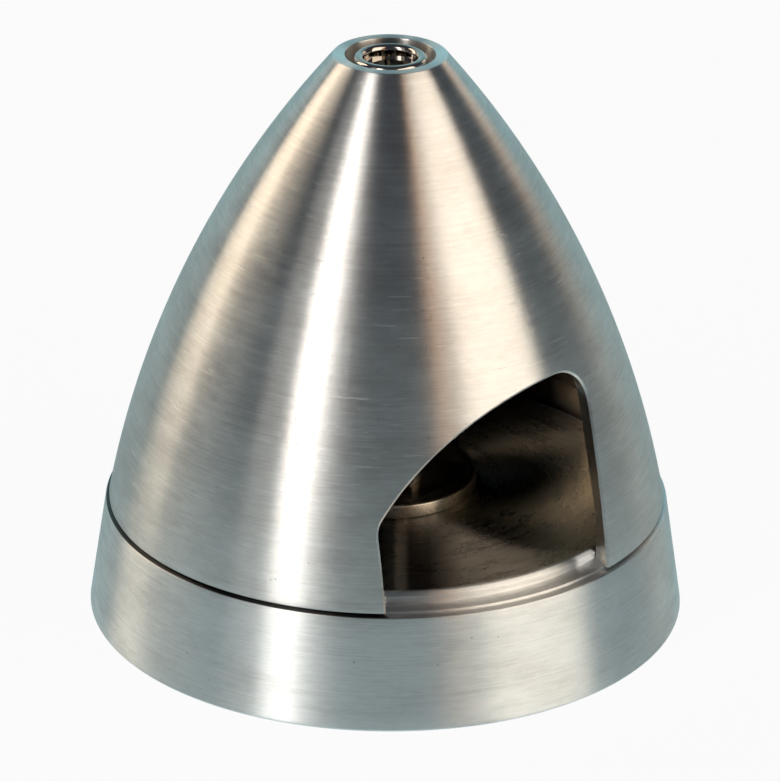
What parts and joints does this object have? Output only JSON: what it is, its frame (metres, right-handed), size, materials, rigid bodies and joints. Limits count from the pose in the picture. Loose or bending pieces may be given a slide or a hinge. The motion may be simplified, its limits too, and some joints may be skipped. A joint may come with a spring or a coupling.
{
  "type": "propeller spinner",
  "caption": "Turned aluminium spinner cone with blade openings, on a backplate with a collet shaft that clamps a motor shaft and holds a propeller.",
  "frame": {"origin": "centre of the backplate's rear rim, on the propeller shaft's axis", "axes": "+Z along the propeller shaft towards the nose; -Y and +Y out through the middle of the two blade openings"},
  "size_m": [0.051, 0.051, 0.0499],
  "materials": {
    "backplate_aluminium": "turned, satin",
    "cone_aluminium": "turned, fine rings, satin",
    "shaft_steel": "turned",
    "washer_steel": "turned edge, slightly grainy",
    "nut_steel": "bright turned",
    "screw_chrome": "bright plated"
  },
  "bodies": {
    "root": {"backplate": "backplate_aluminium", "spinner_cone": "cone_aluminium", "collet_shaft": "shaft_steel", "prop_washer": "washer_steel", "prop_nut": "nut_steel", "nose_screw": "screw_chrome"}
  },
  "joints": []
}
